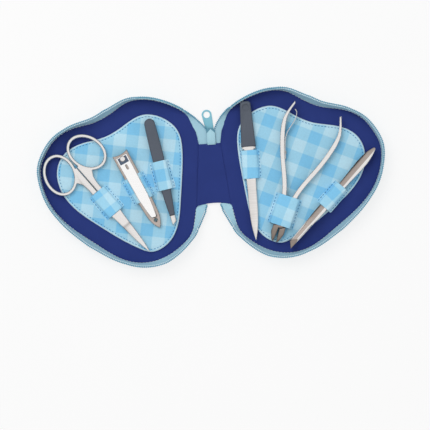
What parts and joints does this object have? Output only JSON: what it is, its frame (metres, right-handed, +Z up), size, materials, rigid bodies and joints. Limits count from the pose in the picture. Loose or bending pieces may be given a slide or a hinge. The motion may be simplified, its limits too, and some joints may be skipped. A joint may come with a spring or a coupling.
{
  "type": "manicure set case",
  "caption": "Zipped heart-shaped manicure case, lying open, with tools held in sewn loops on two padded panels and a folding spine.",
  "frame": {"origin": "on the table, at the middle of the open case's box", "axes": "+X from the left half to the right half, +Y up the spine towards the zipper pull, +Z up from the table"},
  "size_m": [0.2364, 0.1164, 0.0107],
  "materials": {
    "cover_cloth": "woven gingham cloth",
    "board": "stiff grey board",
    "lining_cloth": "fine navy nylon",
    "panel_cloth": "padded gingham cloth",
    "loop_cloth": "gingham cloth",
    "piping": "covered cord",
    "zipper_tape": "woven tape",
    "zipper_coil": "nylon coil",
    "spine_vinyl": "smooth vinyl",
    "foam": "thin foam",
    "end_patch": "smooth vinyl",
    "slider": "dark painted zinc",
    "pull": "gloss paint",
    "polished_steel": "nickel plated",
    "brushed_steel": "ground steel",
    "grip_plastic": "moulded satin plastic"
  },
  "bodies": {
    "left_half": {"left_cover": "cover_cloth", "left_board": "board", "left_lining": "lining_cloth", "left_tool_panel": "panel_cloth", "left_piping": "piping", "left_zipper_tape": "zipper_tape", "left_zipper_coil": "zipper_coil", "scissors_loop": "loop_cloth", "clipper_loop": "loop_cloth", "pusher_loop": "loop_cloth"},
    "spine": {"spine_cover": "spine_vinyl", "spine_padding": "foam", "spine_lining": "lining_cloth", "zipper_tape_ends": "zipper_tape", "zipper_coil_ends": "zipper_coil", "zipper_slider": "slider", "zipper_end_patch": "end_patch"},
    "right_half": {"right_cover": "cover_cloth", "right_board": "board", "right_lining": "lining_cloth", "right_tool_panel": "panel_cloth", "right_piping": "piping", "right_zipper_tape": "zipper_tape", "right_zipper_coil": "zipper_coil", "file_loop": "loop_cloth", "nippers_loop": "loop_cloth", "tweezers_loop": "loop_cloth"},
    "zipper_pull": {"zipper_pull": "pull"},
    "scissors": {"scissors_lower_half": "polished_steel", "scissors_screw": "polished_steel"},
    "scissors_upper": {"scissors_upper_half": "polished_steel"},
    "clipper": {"clipper_lower_leaf": "polished_steel", "clipper_rivet": "polished_steel", "clipper_pin": "polished_steel"},
    "clipper_upper": {"clipper_upper_leaf": "polished_steel"},
    "clipper_lever": {"clipper_lever": "polished_steel"},
    "pusher": {"pusher_handle": "grip_plastic", "pusher_blade": "brushed_steel"},
    "file": {"file_handle": "grip_plastic", "file_blade": "brushed_steel"},
    "nippers": {"nippers_left_half": "polished_steel", "nippers_rivet": "polished_steel", "nippers_spring": "brushed_steel", "nippers_spring_rivet": "brushed_steel"},
    "nippers_right": {"nippers_right_half": "polished_steel"},
    "tweezers": {"tweezers_lower_arm": "polished_steel"},
    "tweezers_upper": {"tweezers_upper_arm": "polished_steel"}
  },
  "joints": [
    {"name": "spine_fold", "type": "hinge", "parent": "left_half", "child": "spine", "pos_m": [-0.01, 0, 0.00075], "axis": [0, -1, 0], "range_deg": [0, 90]},
    {"name": "right_half_fold", "type": "hinge", "parent": "spine", "child": "right_half", "pos_m": [0.01, 0, 0.00075], "axis": [0, -1, 0], "range_deg": [0, 90]},
    {"name": "pull_swing", "type": "hinge", "parent": "spine", "child": "zipper_pull", "pos_m": [0.0013, 0.0292, 0.0009], "axis": [-0.9903, -0.1392, 0], "range_deg": [0, 150]},
    {"name": "scissors_slide", "type": "slide", "parent": "left_half", "child": "scissors", "axis": [-0.6018, 0.7986, 0], "range_m": [-0.006, 0.002]},
    {"name": "scissors_open", "type": "hinge", "parent": "scissors", "child": "scissors_upper", "pos_m": [-0.07218, -0.01186, 0.0056], "axis": [0, 0, -1], "range_deg": [0, 4]},
    {"name": "clipper_slide", "type": "slide", "parent": "left_half", "child": "clipper", "axis": [-0.4147, 0.91, 0], "range_m": [-0.001, 0.008]},
    {"name": "clipper_lever_swing", "type": "hinge", "parent": "clipper", "child": "clipper_lever", "pos_m": [-0.05948, 0.01673, 0.0097], "axis": [0, 0, 1], "range_deg": [-115, 0]},
    {"name": "clipper_squeeze", "type": "hinge", "parent": "clipper", "child": "clipper_upper", "pos_m": [-0.04185, -0.02194, 0.00535], "axis": [-0.91, -0.4147, 0], "range_deg": [0, 1.2], "stiffness_Nm_per_rad": 0.5, "springref_deg": -1.72},
    {"name": "pusher_slide", "type": "slide", "parent": "left_half", "child": "pusher", "axis": [-0.1736, 0.9848, 0], "range_m": [-0.01, 0.009]},
    {"name": "file_slide", "type": "slide", "parent": "right_half", "child": "file", "axis": [-0.0105, 0.9999, 0], "range_m": [-0.002, 0]},
    {"name": "nippers_slide", "type": "slide", "parent": "right_half", "child": "nippers", "axis": [0.3778, 0.9259, 0], "range_m": [-0.0035, 0.001]},
    {"name": "nippers_squeeze", "type": "hinge", "parent": "nippers", "child": "nippers_right", "pos_m": [0.04448, -0.03338, 0.0067], "axis": [0, 0, 1], "range_deg": [0, 8], "stiffness_Nm_per_rad": 0.2, "springref_deg": -1.72},
    {"name": "tweezers_slide", "type": "slide", "parent": "right_half", "child": "tweezers", "axis": [0.7071, 0.7071, 0], "range_m": [-0.002, 0.003]},
    {"name": "tweezers_squeeze", "type": "hinge", "parent": "tweezers", "child": "tweezers_upper", "pos_m": [0.10816, 0.00896, 0.0067], "axis": [0.7071, -0.7071, 0], "range_deg": [0, 0.8], "stiffness_Nm_per_rad": 0.4, "springref_deg": -1.15}
  ]
}
